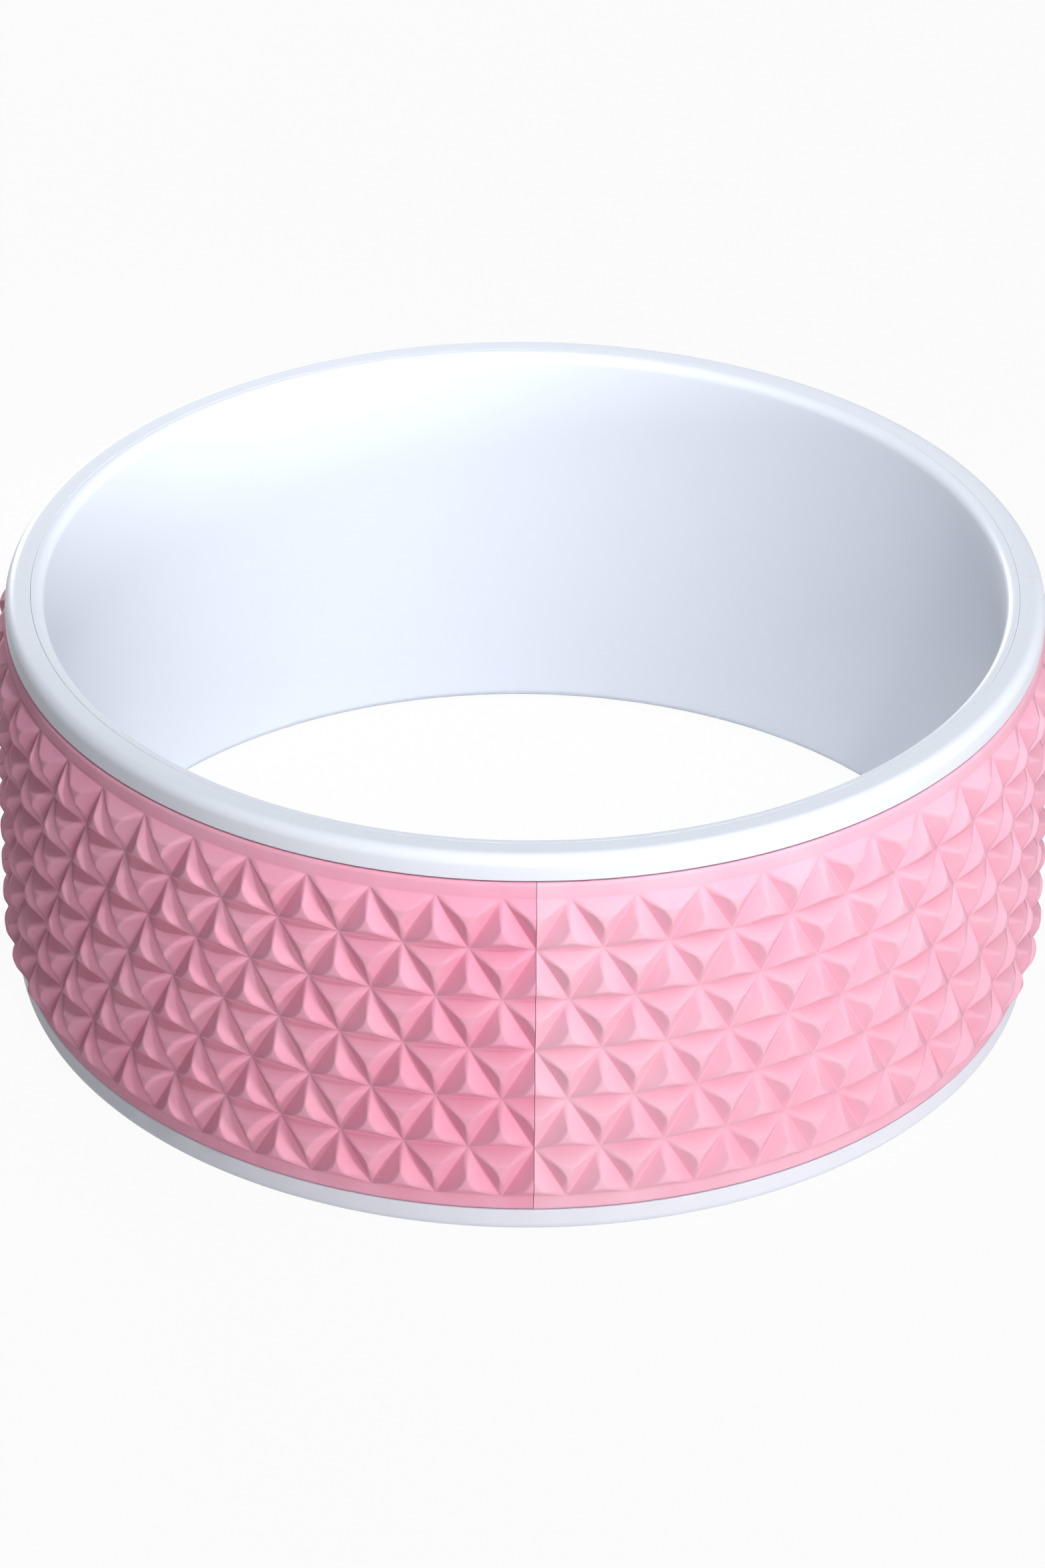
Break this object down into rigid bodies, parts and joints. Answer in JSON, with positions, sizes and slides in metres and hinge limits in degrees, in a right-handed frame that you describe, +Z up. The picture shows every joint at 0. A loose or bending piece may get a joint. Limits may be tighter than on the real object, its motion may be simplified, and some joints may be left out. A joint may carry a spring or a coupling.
{
  "type": "yoga wheel",
  "caption": "Hollow exercise wheel on its side: a white double-walled hoop with rounded lips and a pink tread mat of three-sided pads, for back stretches and balance work.",
  "frame": {"origin": "centre of the hoop, on the surface that the lower lip stands on", "axes": "+Z up along the wheel's axis; -Y towards the seam of the mat, which is the front of the picture; +X to the right as seen from the front"},
  "size_m": [0.33, 0.33, 0.132],
  "materials": {
    "hoop_white": "satin white moulded plastic",
    "adhesive_film": "thin translucent adhesive film",
    "mat_pink": "soft matt pink elastomer with moulded pads"
  },
  "bodies": {
    "root": {"inner_liner": "hoop_white", "outer_shell_front": "hoop_white", "outer_shell_back": "hoop_white", "mat_adhesive_film": "adhesive_film", "tread_mat": "mat_pink"}
  },
  "joints": []
}
